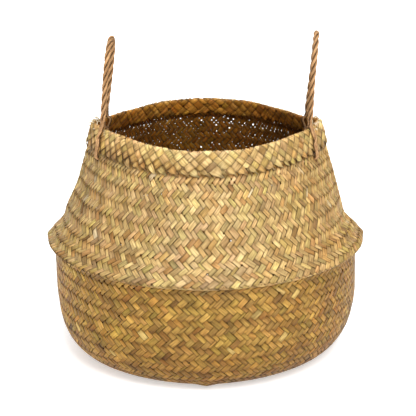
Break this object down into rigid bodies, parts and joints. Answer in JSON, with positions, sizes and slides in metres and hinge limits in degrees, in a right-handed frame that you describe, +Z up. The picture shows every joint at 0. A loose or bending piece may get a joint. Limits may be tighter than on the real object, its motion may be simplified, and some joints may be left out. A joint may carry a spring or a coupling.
{
  "type": "woven belly basket",
  "caption": "Round-bellied woven storage basket with a folded ring, a tapering neck, a turned-down rim and rope loop handles that fold down.",
  "frame": {"origin": "centre of the base's underside, on the ground", "axes": "+Z up, the rope handles stand at -X and +X, the front is -Y"},
  "size_m": [0.3599, 0.3598, 0.3595],
  "materials": {
    "bowl_weave": "satin",
    "neck_weave": "satin",
    "rim_weave": "satin",
    "rope": "matte"
  },
  "bodies": {
    "bowl": {"base_mat": "bowl_weave", "bowl_foot": "bowl_weave", "bowl_belly": "bowl_weave", "bowl_side": "bowl_weave", "fold_ring": "bowl_weave", "neck_wall": "neck_weave"},
    "rim": {"rim_collar": "neck_weave", "rim_band": "rim_weave", "left_front_tail_a": "rope", "left_front_tail_b": "rope", "left_front_tail_in": "rope", "left_back_tail_a": "rope", "left_back_tail_b": "rope", "left_back_tail_in": "rope", "right_front_tail_a": "rope", "right_front_tail_b": "rope", "right_front_tail_in": "rope", "right_back_tail_a": "rope", "right_back_tail_b": "rope", "right_back_tail_in": "rope"},
    "handle_left": {"left_strand_a": "rope", "left_strand_b": "rope", "left_strand_c": "rope"},
    "handle_right": {"right_strand_a": "rope", "right_strand_b": "rope", "right_strand_c": "rope"}
  },
  "joints": [
    {"name": "neck_fold", "type": "slide", "parent": "bowl", "child": "rim", "axis": [0, 0, 1], "range_m": [-0.066, 0], "deforming": ["neck_wall"]},
    {"name": "left_handle_fold", "type": "hinge", "parent": "rim", "child": "handle_left", "pos_m": [-0.11371, 0, 0.2665], "axis": [0, 1, 0], "range_deg": [-121, 109]},
    {"name": "right_handle_fold", "type": "hinge", "parent": "rim", "child": "handle_right", "pos_m": [0.11371, 0, 0.2665], "axis": [0, 1, 0], "range_deg": [-119, 111]}
  ]
}
